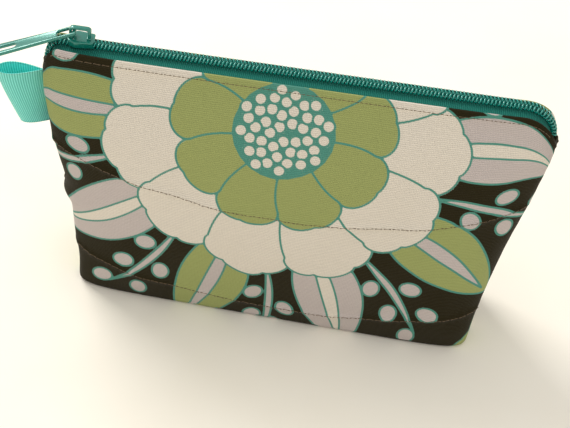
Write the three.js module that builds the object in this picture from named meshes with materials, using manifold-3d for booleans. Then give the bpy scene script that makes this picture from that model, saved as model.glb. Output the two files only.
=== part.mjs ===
// A boxed-bottom zippered pouch: quilted fabric walls, a nylon coil zipper and a ribbon loop.
// Millimetres, +Z up. X runs along the zipper, -Y is the front, and z = 0 is the flat base.
import * as THREE from 'three';
import { mergeVertices } from 'three/addons/utils/BufferGeometryUtils.js';
import Module from 'manifold-3d';

const wasm = await Module();
wasm.setup();

// ---- driving dimensions ----
const TOP_WIDTH = 206;          // seam to seam along the zipper
const BASE_DEPTH = 44;          // boxed bottom, front to back
const HEIGHT = 116;             // base to the folded edge beside the zipper
const MOUTH_DEPTH = 17.6;       // front fold to back fold
const BULGE_DEPTH = 54;         // deepest point of the standing pouch
const BELLY_OUT = 1.5;          // how far the sides stand proud of the zipper ends, each side

const OUTER_THICK = 0.6;        // printed cotton
const FLEECE_THICK = 1.2;       // quilting fleece
const LINING_THICK = 0.5;
const PLY_GAP = 0.3;            // clearance between two plies, and between any two touching pieces
const SEAM_GAP = 0.6;           // front to back at the side and bottom seams
const FLEECE_SEAM_GAP = 1.0;    // the fleece is trimmed back so that the seam thread has room
const FLEECE_BELOW_FOLD = 11;   // the fleece stops under the zipper tape
const LINING_BELOW_FOLD = 2;

const COIL_PITCH = 1.53;
const COIL_WIDTH = 5.5;         // both coils together
const COIL_THICK = 2.6;
const COIL_SLOT = 1.3;          // clear line that the slider's wedge runs along
const COIL_TOOTH = 0.75;        // length of a tooth along the zipper
const COIL_CORE = 0.8;          // width of the sewn core that the teeth stand on
const TAPE_THICK = 0.6;
const TAPE_BELOW_FOLD = 0.4;
const TAPE_HIDDEN = 9;          // width of tape that is sewn inside the fold

const LEFT_CURL_LENGTH = 4.3;   // the zipper turns down into the left seam over this length
const LEFT_CURL_DROP = 8;
const RIGHT_CURL_LENGTH = 13;
const RIGHT_CURL_DROP = 13;

const SLIDER_LENGTH = 11;
const SLIDER_WIDTH = 8.6;
const SLIDER_PLATE = 0.8;
const SLIDER_FLANGE = 0.9;
const SLIDER_WEDGE = 2.0;       // length of the wedge that joins the two plates
const SLIDER_INSET = 12.8;      // left seam to the middle of the closed slider
const SLIDER_TRAVEL = 172;
const CROWN_WIDTH = 2.2;
const CROWN_THICK = 1.15;
const CROWN_SPAN = 9;           // outside length of the arch
const CROWN_RISE = 5;           // outside height of the arch over the top plate

const PULL_LENGTH = 40;         // pivot to tip
const PULL_WIDTH = 7.8;
const PULL_ROOT_WIDTH = 6.2;
const PULL_THICK = 1.4;
const PULL_DROOP = 23;          // degrees below level
const PULL_TURN = 6;            // degrees that it hangs round to the front
const PULL_EYE_WIDTH = 4;
const PULL_EYE_LENGTH = 6.8;
const PULL_SLOT_WIDTH = 3;
const PULL_SLOT_LENGTH = 11.5;

const RIBBON_WIDTH = 25.4;
const RIBBON_THICK = 0.5;
const RIBBON_LENGTH = 19;       // seam to the tip of the loop
const RIBBON_EYE = 9;           // widest opening of the folded loop
const RIBBON_TOP_BELOW_FOLD = 16;
const RIBBON_TURN = 9;          // degrees that the loop leans to the front
const RIBBON_GAP = 1;           // the loop's root stands off the seam, so that it can swing

const THREAD = 0.4;
const SEAM_THREAD_START = 4.6;  // height where the side seams' threads begin
const TOPSTITCH_BELOW_FOLD = 2.4;
const UPPER_QUILT_EDGE = 0.64;  // quilting lines: share of the height at the sides and the middle
const UPPER_QUILT_MIDDLE = 0.52;
const LOWER_QUILT_EDGE = 0.185;
const LOWER_QUILT_MIDDLE = 0.085;

const BASE_WIDTH = TOP_WIDTH - BASE_DEPTH;
const SLIDER_X = -TOP_WIDTH / 2 + SLIDER_INSET;
const STATIONS = 22;            // steps along X in a wall
const BIG = 400;
const ABOVE = 8;                // how far the uncut forms reach past the folded edge

// ---- materials ----
function finish(color, roughness, metalness = 0) {
  return new THREE.MeshStandardMaterial({ color, roughness, metalness });
}
const printedCotton = finish(0xc8bfa6, 0.9);
const fleeceWhite = finish(0xf0ede4, 1.0);
const liningCotton = finish(0xe6e0d0, 0.9);
const tapeTeal = finish(0x0f8a78, 0.9);
const coilTeal = finish(0x0c8f7d, 0.35);
const enamelTeal = finish(0x0b8f7b, 0.25, 0.4);
const ribbonTurquoise = finish(0x74dcc6, 0.7);
const brownThread = finish(0x5a4630, 0.8);
const seamThread = finish(0xd8d2c0, 0.8);

// ---- profile of the standing pouch, by share of the height ----
function curveThrough(points) {
  return (t) => {
    if (t <= points[0][0]) return points[0][1];
    for (let i = 1; i < points.length; i++) {
      const [t1, v1] = points[i];
      if (t > t1) continue;
      const [t0, v0] = points[i - 1];
      const before = points[Math.max(i - 2, 0)];
      const after = points[Math.min(i + 1, points.length - 1)];
      const slope0 = (v1 - before[1]) / (t1 - before[0]);
      const slope1 = (after[1] - v0) / (after[0] - t0);
      const span = t1 - t0;
      const u = (t - t0) / span;
      const h1 = u * u * (3 - 2 * u);
      return v0 * (1 - h1) + v1 * h1
        + span * (slope0 * u * (1 - u) * (1 - u) - slope1 * u * u * (1 - u));
    }
    return points[points.length - 1][1];
  };
}

const baseHalf = BASE_WIDTH / 2;
const topHalf = TOP_WIDTH / 2;
const widen = topHalf + BELLY_OUT - baseHalf;
const halfWidth = curveThrough([
  [0, baseHalf], [0.12, baseHalf + 0.08 * widen], [0.25, baseHalf + 0.22 * widen],
  [0.4, baseHalf + 0.43 * widen], [0.55, baseHalf + 0.66 * widen],
  [0.7, baseHalf + 0.86 * widen], [0.85, topHalf + BELLY_OUT], [1, topHalf],
]);
const mouthHalf = MOUTH_DEPTH / 2;
const baseDeep = BASE_DEPTH / 2;
const bulgeHalf = BULGE_DEPTH / 2;
const halfDepth = curveThrough([
  [0, baseDeep], [0.1, (baseDeep + bulgeHalf) / 2], [0.25, bulgeHalf - 0.4], [0.38, bulgeHalf],
  [0.55, bulgeHalf - 1.8], [0.7, bulgeHalf - 5.2], [0.84, (bulgeHalf + mouthHalf) / 2 - 1.6],
  [0.94, mouthHalf + 2.2], [1, mouthHalf],
]);
const squareness = curveThrough([[0, 9], [0.15, 5], [0.4, 3.2], [0.75, 3.2], [0.92, 4.2], [1, 6]]);

// height of the folded edge at a place along the zipper
function foldHeight(x) {
  const right = x > 0;
  const length = right ? RIGHT_CURL_LENGTH : LEFT_CURL_LENGTH;
  const drop = right ? RIGHT_CURL_DROP : LEFT_CURL_DROP;
  const u = Math.min(Math.max((Math.abs(x) - (topHalf - length)) / length, 0), 1);
  return HEIGHT - drop * (1 - Math.sqrt(1 - u * u));
}

// point on the wall: height, share of the half width, side (-1 front, 1 back)
function wallPoint(z, share, side, inset) {
  const t = z / HEIGHT;
  const x = (halfWidth(t) - inset) * share;
  const power = squareness(t);
  const y = side * (halfDepth(t) - inset) * (1 - Math.abs(share) ** power) ** (1 / power);
  return new THREE.Vector3(x, y, z);
}

// ---- solids ----
function geometryFrom(vertices, triangles) {
  const geometry = new THREE.BufferGeometry();
  geometry.setAttribute('position', new THREE.Float32BufferAttribute(vertices, 3));
  geometry.setIndex(triangles);
  return geometry;
}

function solid(geometry) {
  const bare = geometry.clone();
  bare.deleteAttribute('normal');
  bare.deleteAttribute('uv');
  const merged = mergeVertices(bare, 1e-3);
  return new wasm.Manifold(new wasm.Mesh({
    numProp: 3,
    vertProperties: new Float32Array(merged.attributes.position.array),
    triVerts: new Uint32Array(merged.index.array),
  }));
}

function box(x0, x1, y0, y1, z0, z1) {
  const geometry = new THREE.BoxGeometry(x1 - x0, y1 - y0, z1 - z0);
  geometry.translate((x0 + x1) / 2, (y0 + y1) / 2, (z0 + z1) / 2);
  return solid(geometry);
}

// the pouch's whole form, grown inward by `inset`, from its base to well above the mouth
function form(inset) {
  const middle = [0.05, 0.13, 0.24, 0.38, 0.52, 0.66, 0.78, 0.88, 0.95, 1];
  const rows = [inset, ...middle.map((t) => t * HEIGHT), HEIGHT + ABOVE + inset];
  const shares = [];
  for (let i = 0; i <= STATIONS; i++) shares.push(-Math.cos(Math.PI * i / STATIONS));
  const vertices = [];
  const triangles = [];
  const ring = 2 * STATIONS;
  const frontAt = (row, i) => row * ring + i;
  const backAt = (row, i) => (i === 0 || i === STATIONS ? frontAt(row, i) : row * ring + ring - i);
  for (const z of rows) {
    for (let i = 0; i <= STATIONS; i++) vertices.push(...wallPoint(z, shares[i], -1, inset));
    for (let i = STATIONS - 1; i > 0; i--) vertices.push(...wallPoint(z, shares[i], 1, inset));
  }
  const quad = (a, b, c, d) => {
    if (a !== b && b !== c && a !== c) triangles.push(a, b, c);
    if (a !== c && c !== d && a !== d) triangles.push(a, c, d);
  };
  const top = rows.length - 1;
  for (let i = 0; i < STATIONS; i++) {
    for (let r = 0; r < top; r++) {
      quad(frontAt(r, i), frontAt(r, i + 1), frontAt(r + 1, i + 1), frontAt(r + 1, i));
      quad(backAt(r, i + 1), backAt(r, i), backAt(r + 1, i), backAt(r + 1, i + 1));
    }
    quad(frontAt(top, i), frontAt(top, i + 1), backAt(top, i + 1), backAt(top, i));
    quad(backAt(0, i), backAt(0, i + 1), frontAt(0, i + 1), frontAt(0, i));
  }
  return solid(geometryFrom(vertices, triangles));
}

// everything under a line that follows the folded edge, at a set height above it
function below(above) {
  const outline = new THREE.Shape();
  outline.moveTo(-BIG, -BIG);
  outline.lineTo(BIG, -BIG);
  outline.lineTo(BIG, foldHeight(topHalf) + above);
  const steps = 10;
  for (const [side, length] of [[1, RIGHT_CURL_LENGTH], [-1, LEFT_CURL_LENGTH]]) {
    for (let i = 0; i <= steps; i++) {
      const turn = Math.PI / 2 * (side > 0 ? 1 - i / steps : i / steps);
      const x = side * (topHalf - length * (1 - Math.sin(turn)));
      outline.lineTo(x, foldHeight(x) + above);
    }
  }
  outline.lineTo(-BIG, foldHeight(-topHalf) + above);
  const geometry = new THREE.ExtrudeGeometry(outline, { depth: BIG, bevelEnabled: false });
  geometry.rotateX(Math.PI / 2);
  geometry.translate(0, BIG / 2, 0);
  return solid(geometry);
}

// one ply of the wall, open at the top, between two insets and up to a line along the fold
function ply(inset, thickness, above) {
  return form(inset).subtract(form(inset + thickness)).intersect(below(above));
}

function halfSpace(side, gap) {
  const edge = gap / 2;
  return side < 0 ? box(-BIG, BIG, -BIG, -edge, -BIG, BIG) : box(-BIG, BIG, edge, BIG, -BIG, BIG);
}

const pouch = new THREE.Group();

function add(name, shape, material) {
  const mesh = shape.getMesh();
  const geometry = geometryFrom(Array.from(mesh.vertProperties), Array.from(mesh.triVerts));
  const node = new THREE.Mesh(geometry, material);
  node.name = name;
  pouch.add(node);
  return node;
}

// ---- the three plies, front and back ----
const fleeceInset = OUTER_THICK + PLY_GAP;
const liningInset = fleeceInset + FLEECE_THICK + PLY_GAP;
const outerPly = ply(0, OUTER_THICK, 0);
const fleecePly = ply(fleeceInset, FLEECE_THICK, -FLEECE_BELOW_FOLD);
const liningPly = ply(liningInset, LINING_THICK, -LINING_BELOW_FOLD);
const tapeTop = -TAPE_BELOW_FOLD;
const tapeBottom = tapeTop - TAPE_THICK;
const sliderLane = SLIDER_WIDTH / 2 + PLY_GAP;
const laneFloor = HEIGHT + tapeBottom - SLIDER_PLATE - 2 * PLY_GAP;
const liningTrimmed = liningPly.subtract(box(-BIG, BIG, -sliderLane, sliderLane, laneFloor, BIG));
const SIDES = [['front', -1], ['back', 1]];
for (const [word, side] of SIDES) {
  add(`outer_${word}`, outerPly.intersect(halfSpace(side, SEAM_GAP)), printedCotton);
  add(`fleece_${word}`, fleecePly.intersect(halfSpace(side, FLEECE_SEAM_GAP)), fleeceWhite);
  add(`lining_${word}`, liningTrimmed.intersect(halfSpace(side, SEAM_GAP)), liningCotton);
}

// ---- zipper tapes: a flat strip beside the coil, and the stretch sewn inside the fold ----
const tapeInset = OUTER_THICK + PLY_GAP;
const tapeStrip = form(tapeInset).intersect(below(tapeTop)).subtract(below(tapeBottom));
const tapeSkirt = ply(tapeInset, TAPE_THICK, tapeTop).subtract(below(tapeTop - TAPE_HIDDEN));
const chainHalf = COIL_WIDTH / 2;
const chainLine = box(-BIG, BIG, -chainHalf - PLY_GAP, chainHalf + PLY_GAP, -BIG, BIG);
const endLeft = SLIDER_X + SLIDER_LENGTH / 2 + PLY_GAP;
const endRight = SLIDER_X + SLIDER_TRAVEL - SLIDER_LENGTH / 2 - PLY_GAP;
const openStretch = box(endLeft + PLY_GAP, endRight - PLY_GAP, -BIG, BIG, -BIG, BIG);
for (const [word, side] of SIDES) {
  const tape = tapeStrip.add(tapeSkirt).subtract(chainLine).intersect(openStretch);
  add(`zip_tape_${word}`, tape.intersect(halfSpace(side, SEAM_GAP)), tapeTeal);
}

// ---- coils: a sewn core with teeth towards the middle ----
const coilSeat = tapeBottom + 0.1;
const coilBottom = HEIGHT + coilSeat;
const coilInner = COIL_SLOT / 2;

function comb(side, x0, x1) {
  const outline = new THREE.Shape();
  const outer = side * chainHalf;
  const root = side * (chainHalf - COIL_CORE);
  const tip = side * coilInner;
  outline.moveTo(x0, outer);
  outline.lineTo(x1, outer);
  outline.lineTo(x1, root);
  const teeth = Math.floor((x1 - x0) / COIL_PITCH);
  const margin = (x1 - x0 - (teeth - 1) * COIL_PITCH - COIL_TOOTH) / 2;
  for (let i = teeth - 1; i >= 0; i--) {
    const start = x0 + margin + i * COIL_PITCH;
    outline.lineTo(start + COIL_TOOTH, root);
    outline.lineTo(start + COIL_TOOTH, tip);
    outline.lineTo(start, tip);
    outline.lineTo(start, root);
  }
  outline.lineTo(x0, root);
  const geometry = new THREE.ExtrudeGeometry(outline, { depth: COIL_THICK, bevelEnabled: false });
  geometry.translate(0, 0, coilBottom);
  return solid(geometry);
}
for (const [word, side] of SIDES) {
  add(`coil_${word}`, comb(side, endLeft + PLY_GAP, endRight - PLY_GAP), coilTeal);
}

// ---- the zipper's two ends, sewn down at the side seams, where the closed or open slider parks ----
const chainBar = form(tapeInset)
  .intersect(below(coilSeat + COIL_THICK))
  .subtract(below(coilSeat))
  .intersect(box(-BIG, BIG, -chainHalf, chainHalf, -BIG, BIG));
const wedgeLine = box(
  -(topHalf - LEFT_CURL_LENGTH), topHalf - RIGHT_CURL_LENGTH, -coilInner, coilInner, -BIG, BIG,
);
const endSolid = tapeStrip.add(chainBar).subtract(wedgeLine);
add('zip_end_left', endSolid.intersect(box(-BIG, endLeft, -BIG, BIG, -BIG, BIG)), tapeTeal);
add('zip_end_right', endSolid.intersect(box(endRight, BIG, -BIG, BIG, -BIG, BIG)), tapeTeal);

// ---- slider: two plates joined by the wedge, with side flanges ----
const coilTop = coilBottom + COIL_THICK;
const plateUnder = coilTop + PLY_GAP;
const plateTop = plateUnder + SLIDER_PLATE;
const lowerTop = HEIGHT + tapeBottom - PLY_GAP;
const lowerBottom = lowerTop - SLIDER_PLATE;
const sliderLeft = SLIDER_X - SLIDER_LENGTH / 2;
const sliderRight = SLIDER_X + SLIDER_LENGTH / 2;
const sliderHalf = SLIDER_WIDTH / 2;

function sliderPlate(z, thickness) {
  const corner = 1.6;
  const nose = 2.6;
  const outline = new THREE.Shape();
  outline.moveTo(sliderRight, -sliderHalf + corner);
  outline.lineTo(sliderRight, sliderHalf - corner);
  outline.quadraticCurveTo(sliderRight, sliderHalf, sliderRight - corner, sliderHalf);
  outline.lineTo(sliderLeft + nose, sliderHalf);
  outline.quadraticCurveTo(sliderLeft, sliderHalf, sliderLeft, sliderHalf - nose);
  outline.lineTo(sliderLeft, -sliderHalf + nose);
  outline.quadraticCurveTo(sliderLeft, -sliderHalf, sliderLeft + nose, -sliderHalf);
  outline.lineTo(sliderRight - corner, -sliderHalf);
  outline.quadraticCurveTo(sliderRight, -sliderHalf, sliderRight, -sliderHalf + corner);
  const geometry = new THREE.ExtrudeGeometry(outline, {
    depth: thickness, bevelEnabled: false, curveSegments: 4,
  });
  geometry.translate(0, 0, z);
  return solid(geometry);
}

const flangeBottom = HEIGHT + tapeTop + PLY_GAP;
let sliderBody = sliderPlate(plateUnder, SLIDER_PLATE).add(sliderPlate(lowerBottom, SLIDER_PLATE));
const wedgeHalf = coilInner - PLY_GAP;
sliderBody = sliderBody.add(box(
  sliderLeft + 0.6, sliderLeft + 0.6 + SLIDER_WEDGE, -wedgeHalf, wedgeHalf,
  lowerTop - 0.2, plateUnder + 0.2,
));
for (const [, side] of SIDES) {
  const inner = side * (sliderHalf - SLIDER_FLANGE);
  const outer = side * sliderHalf;
  sliderBody = sliderBody.add(box(
    sliderLeft + 2.6, sliderRight - 1.6, Math.min(inner, outer), Math.max(inner, outer),
    flangeBottom, plateUnder + 0.2,
  ));
}
add('slider_body', sliderBody, enamelTeal);

// ---- crown: the arch over the slider that holds the pull ----
const crownBottom = plateTop + PLY_GAP;
const crownTop = plateTop + CROWN_RISE;
const crownLeft = SLIDER_X - CROWN_SPAN / 2 - 0.4;
const crownRight = crownLeft + CROWN_SPAN;

function archShape() {
  const round = 1.7;
  const inner = round - CROWN_THICK + 0.5;
  const outline = new THREE.Shape();
  outline.moveTo(crownLeft, crownBottom);
  outline.lineTo(crownLeft, crownTop - round);
  outline.quadraticCurveTo(crownLeft, crownTop, crownLeft + round, crownTop);
  outline.lineTo(crownRight - round, crownTop);
  outline.quadraticCurveTo(crownRight, crownTop, crownRight, crownTop - round);
  outline.lineTo(crownRight, crownBottom);
  outline.lineTo(crownRight - CROWN_THICK, crownBottom);
  outline.lineTo(crownRight - CROWN_THICK, crownTop - CROWN_THICK - inner);
  outline.quadraticCurveTo(
    crownRight - CROWN_THICK, crownTop - CROWN_THICK,
    crownRight - CROWN_THICK - inner, crownTop - CROWN_THICK,
  );
  outline.lineTo(crownLeft + CROWN_THICK + inner, crownTop - CROWN_THICK);
  outline.quadraticCurveTo(
    crownLeft + CROWN_THICK, crownTop - CROWN_THICK,
    crownLeft + CROWN_THICK, crownTop - CROWN_THICK - inner,
  );
  outline.lineTo(crownLeft + CROWN_THICK, crownBottom);
  return outline;
}
const crownGeometry = new THREE.ExtrudeGeometry(archShape(), {
  depth: CROWN_WIDTH, bevelEnabled: false, curveSegments: 4,
});
crownGeometry.rotateX(Math.PI / 2);
crownGeometry.translate(0, CROWN_WIDTH / 2, 0);
add('slider_crown', solid(crownGeometry), enamelTeal);

// ---- pull: a flat tab with an eye round the crown and a long slot near its tip ----
const pivotX = crownLeft + CROWN_THICK + PLY_GAP + PULL_THICK / 2;
const pivotZ = crownTop - CROWN_THICK - PLY_GAP - PULL_THICK / 2;

function slotPath(x0, x1, width) {
  const r = width / 2;
  const path = new THREE.Path();
  path.moveTo(x0 + r, -r);
  path.lineTo(x1 - r, -r);
  path.absarc(x1 - r, 0, r, -Math.PI / 2, Math.PI / 2, false);
  path.lineTo(x0 + r, r);
  path.absarc(x0 + r, 0, r, Math.PI / 2, 1.5 * Math.PI, false);
  return path;
}
const pullOutline = new THREE.Shape();
const pullRound = PULL_WIDTH / 2;
const rootHalf = PULL_ROOT_WIDTH / 2;
const barHalf = PULL_THICK / 2;
pullOutline.moveTo(-barHalf, -rootHalf);
pullOutline.lineTo(PULL_LENGTH - pullRound, -pullRound);
pullOutline.absarc(PULL_LENGTH - pullRound, 0, pullRound, -Math.PI / 2, Math.PI / 2, false);
pullOutline.lineTo(-barHalf, rootHalf);
const eyeHole = new THREE.Path();
eyeHole.moveTo(barHalf, -PULL_EYE_WIDTH / 2);
eyeHole.lineTo(barHalf + PULL_EYE_LENGTH, -PULL_EYE_WIDTH / 2);
eyeHole.lineTo(barHalf + PULL_EYE_LENGTH, PULL_EYE_WIDTH / 2);
eyeHole.lineTo(barHalf, PULL_EYE_WIDTH / 2);
const slotEnd = PULL_LENGTH - 3.5;
pullOutline.holes.push(eyeHole, slotPath(slotEnd - PULL_SLOT_LENGTH, slotEnd, PULL_SLOT_WIDTH));
const pullGeometry = new THREE.ExtrudeGeometry(pullOutline, {
  depth: PULL_THICK, bevelEnabled: false, curveSegments: 8,
});
pullGeometry.translate(0, 0, -PULL_THICK / 2);
const pullTab = add('pull_tab', solid(pullGeometry), enamelTeal);
pullTab.position.set(pivotX, 0, pivotZ);
pullTab.rotation.set(
  0, Math.PI - THREE.MathUtils.degToRad(PULL_DROOP), -THREE.MathUtils.degToRad(PULL_TURN),
);

// ---- ribbon loop in the left side seam ----
const ribbonTop = HEIGHT - RIBBON_TOP_BELOW_FOLD;
const ribbonBottom = ribbonTop - RIBBON_WIDTH;
const ribbonRootX = halfWidth(ribbonTop / HEIGHT);

function teardrop(offset) {
  const points = [];
  const steps = 12;
  const half = RIBBON_EYE / 2 + offset;
  const back = -12;
  for (let i = 0; i <= steps; i++) {
    const u = i / steps;
    const across = Math.sin(Math.PI * Math.min(u * 1.12, 1) ** 1.35) * half;
    points.push([u * (RIBBON_LENGTH - RIBBON_THICK + offset), Math.max(across, offset)]);
  }
  points[steps][1] = 0;
  const upper = [[back, offset], ...points];
  const lower = upper.slice(0, -1).reverse().map(([along, across]) => [along, -across]);
  return [...upper, ...lower].map(([along, across]) => new THREE.Vector2(-along, across));
}
const ribbonOutline = new THREE.Shape(teardrop(RIBBON_THICK + 0.12));
const eyeStart = 2.2;
const eyePoints = teardrop(0.12).filter((point) => -point.x >= eyeStart);
ribbonOutline.holes.push(new THREE.Path(eyePoints));
const ribbonGeometry = new THREE.ExtrudeGeometry(ribbonOutline, {
  depth: RIBBON_WIDTH, bevelEnabled: false,
});
ribbonGeometry.rotateZ(THREE.MathUtils.degToRad(RIBBON_TURN));
ribbonGeometry.translate(-ribbonRootX, 0, ribbonBottom);
add('ribbon_loop', solid(ribbonGeometry).subtract(form(-RIBBON_GAP)), ribbonTurquoise);

// ---- threads ----
function thread(points, steps) {
  const r = THREAD / 2;
  const section = new THREE.Shape();
  section.moveTo(-r, -r);
  section.lineTo(r, -r);
  section.lineTo(r, r);
  section.lineTo(-r, r);
  return solid(new THREE.ExtrudeGeometry(section, {
    steps, bevelEnabled: false, extrudePath: new THREE.CatmullRomCurve3(points),
  }));
}

// a line of stitches across a wall, from one side to the other
function wallStitch(side, heightAt, reach) {
  const points = [];
  const steps = 28;
  for (let i = 0; i <= steps; i++) {
    const share = reach * Math.sin(Math.PI * (i / steps - 0.5));
    points.push(wallPoint(heightAt(share), share, side, -(PLY_GAP + THREAD)));
  }
  return thread(points, steps);
}

function smile(edge, middle) {
  return (share) => HEIGHT * (middle + (edge - middle) * share * share);
}
for (const [word, side] of SIDES) {
  const besideFold = (share) => foldHeight(topHalf * share) - TOPSTITCH_BELOW_FOLD;
  add(`topstitch_${word}`, wallStitch(side, besideFold, 0.96), brownThread);
  add(`quilt_upper_${word}`,
    wallStitch(side, smile(UPPER_QUILT_EDGE, UPPER_QUILT_MIDDLE), 0.975), brownThread);
  add(`quilt_lower_${word}`,
    wallStitch(side, smile(LOWER_QUILT_EDGE, LOWER_QUILT_MIDDLE), 0.975), brownThread);
}

// seam threads, hidden between the front and back fleece
const seamInset = fleeceInset + FLEECE_THICK / 2;
for (const [word, direction] of [['left', -1], ['right', 1]]) {
  const points = [];
  const steps = 12;
  const start = SEAM_THREAD_START;
  const end = foldHeight(direction * topHalf) - FLEECE_BELOW_FOLD - 2;
  for (let i = 0; i <= steps; i++) {
    points.push(wallPoint(start + (end - start) * i / steps, direction, 1, seamInset));
  }
  add(`seam_thread_${word}`, thread(points, 2 * steps), seamThread);
}
const bottomReach = baseHalf - 6;
add('seam_thread_bottom', thread([
  new THREE.Vector3(-bottomReach, 0, seamInset),
  new THREE.Vector3(0, 0, seamInset),
  new THREE.Vector3(bottomReach, 0, seamInset),
], 4), seamThread);

// ---- origin: middle of the bounding box, on the base ----
pouch.updateMatrixWorld(true);
const bounds = new THREE.Box3().setFromObject(pouch, true);
pouch.position.set(-(bounds.min.x + bounds.max.x) / 2, -(bounds.min.y + bounds.max.y) / 2, 0);

export default pouch;
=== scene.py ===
"""A boxed-bottom zippered pouch in printed cotton, with a nylon coil zipper and a ribbon loop.

Shapes are worked out in millimetres in the part's own coordinates, where x = 0 is the middle of the
zipper, -Y is the front and z = 0 is the base; in_frame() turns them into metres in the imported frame.
"""
import math

import bmesh
import bpy
import numpy as np
from mathutils import Matrix, Vector


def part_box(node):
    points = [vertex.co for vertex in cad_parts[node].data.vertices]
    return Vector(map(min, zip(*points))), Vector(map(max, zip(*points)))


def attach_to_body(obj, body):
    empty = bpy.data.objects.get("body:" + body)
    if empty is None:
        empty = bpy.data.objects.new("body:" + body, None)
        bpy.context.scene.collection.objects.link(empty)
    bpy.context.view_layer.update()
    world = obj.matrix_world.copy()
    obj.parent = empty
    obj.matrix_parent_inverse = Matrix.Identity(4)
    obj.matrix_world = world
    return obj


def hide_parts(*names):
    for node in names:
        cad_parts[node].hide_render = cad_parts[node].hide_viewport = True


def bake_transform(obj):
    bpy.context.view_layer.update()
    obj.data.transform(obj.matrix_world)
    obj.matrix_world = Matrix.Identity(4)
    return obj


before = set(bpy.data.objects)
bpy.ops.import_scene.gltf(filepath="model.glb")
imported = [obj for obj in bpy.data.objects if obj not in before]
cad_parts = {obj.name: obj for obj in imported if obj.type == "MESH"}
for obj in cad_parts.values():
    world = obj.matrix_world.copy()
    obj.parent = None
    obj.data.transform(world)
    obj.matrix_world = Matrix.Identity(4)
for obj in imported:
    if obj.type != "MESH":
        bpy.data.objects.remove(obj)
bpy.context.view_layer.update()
MM = 0.001
TAU = 2 * math.pi


def box_mm(node):
    low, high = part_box(node)
    return np.array(low) / MM, np.array(high) / MM


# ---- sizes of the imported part, in millimetres ----
OUTER_LOW, OUTER_HIGH = box_mm("outer_front")
CENTRE_X = (OUTER_LOW[0] + OUTER_HIGH[0]) / 2
HEIGHT = OUTER_HIGH[2]
TOP_HALF = 103.0
BELLY_OUT = 1.5
BASE_HALF = 84.5  # the cloth's base stands a little wider than the solid one
BASE_DEEP = 22.0
BASE_CORNER = 2.0  # radius of the edge round the base
BULGE_HALF = 27.0
MOUTH_HALF = 8.8
LEFT_CURL = (4.3, 8.0)  # length and drop of the zipper's end
RIGHT_CURL = (13.0, 13.0)
CURL_REACH = 48.0  # how far down the wall the ends' drop is felt
FLEECE_INSET = 0.9
LINING_INSET = 2.5
TAPE_INSET = 1.1
TAPE_THICK = 0.5
TOPSTITCH_BELOW_FOLD = 2.4
UPPER_QUILT = (0.64, 0.52)  # share of the height at the sides and in the middle
LOWER_QUILT = (0.185, 0.085)
COIL_PITCH = 1.53
WIRE = 0.36  # radius of the coil's wire
FABRIC_HALF = 103.0  # half the width of the cut panel
BASE_TWIST = math.radians(2.4)  # the base stands turned a little under the zipper
TWIST_REACH = 85.0  # height at which the turn has died out
BACK_SAG = 4.8  # the back fold hangs lower than the front one
SLIDER_PLATE = 0.8
CROWN_THICK = 1.15
CROWN_HALF = 1.1
PULL_GAP = 0.3  # clearance between the pull and the crown
PULL_THICK = 1.4
PULL_LENGTH = 40.0
PULL_ROOT_HALF = 3.1
PULL_TIP_HALF = 3.9
PULL_DROOP = math.radians(23)
PULL_TURN = math.radians(6)
RIB = 1.05  # pitch of the ribbon's ribs


# ---- profile of the standing pouch, by share of the height ----
def curve_through(knots):
    """Smooth curve through (place, value) knots, flat beyond its ends."""
    place, value = (np.array(column, float) for column in zip(*knots))
    before = np.concatenate([[0], np.arange(len(place) - 1)])
    after = np.concatenate([np.arange(1, len(place)), [len(place) - 1]])
    slope = (value[after] - value[before]) / (place[after] - place[before])

    def at(t):
        t = np.clip(t, place[0], place[-1])
        i = np.clip(np.searchsorted(place, t) - 1, 0, len(place) - 2)
        span = place[i + 1] - place[i]
        u = (t - place[i]) / span
        rise = u * u * (3 - 2 * u)
        bend = slope[i] * u * (1 - u) ** 2 - slope[i + 1] * u * u * (1 - u)
        return value[i] * (1 - rise) + value[i + 1] * rise + span * bend

    return at


WIDEN = TOP_HALF + BELLY_OUT - BASE_HALF
half_width = curve_through([
    (0, BASE_HALF), (0.12, BASE_HALF + 0.08 * WIDEN), (0.25, BASE_HALF + 0.22 * WIDEN),
    (0.4, BASE_HALF + 0.43 * WIDEN), (0.55, BASE_HALF + 0.66 * WIDEN),
    (0.7, BASE_HALF + 0.86 * WIDEN), (0.85, TOP_HALF + BELLY_OUT), (1, TOP_HALF),
])
half_depth = curve_through([
    (0, BASE_DEEP), (0.1, (BASE_DEEP + BULGE_HALF) / 2), (0.25, BULGE_HALF - 0.4),
    (0.38, BULGE_HALF), (0.55, BULGE_HALF - 1.8), (0.7, BULGE_HALF - 5.2),
    (0.84, (BULGE_HALF + MOUTH_HALF) / 2 - 1.6), (0.94, MOUTH_HALF + 2.2), (1, MOUTH_HALF),
])
squareness = curve_through([(0, 9), (0.15, 5), (0.4, 3.2), (0.75, 3.2), (0.92, 4.2), (1, 6)])


def smoothstep(t):
    t = np.clip(t, 0, 1)
    return t * t * (3 - 2 * t)


def end_drop(x):
    """How far the folded edge falls below its level stretch at a place along the zipper."""
    length = np.where(x > 0, RIGHT_CURL[0], LEFT_CURL[0])
    drop = np.where(x > 0, RIGHT_CURL[1], LEFT_CURL[1])
    u = np.clip((np.abs(x) - (TOP_HALF - length)) / length, 0, 1)
    return drop * (1 - np.sqrt(1 - u * u))


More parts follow.
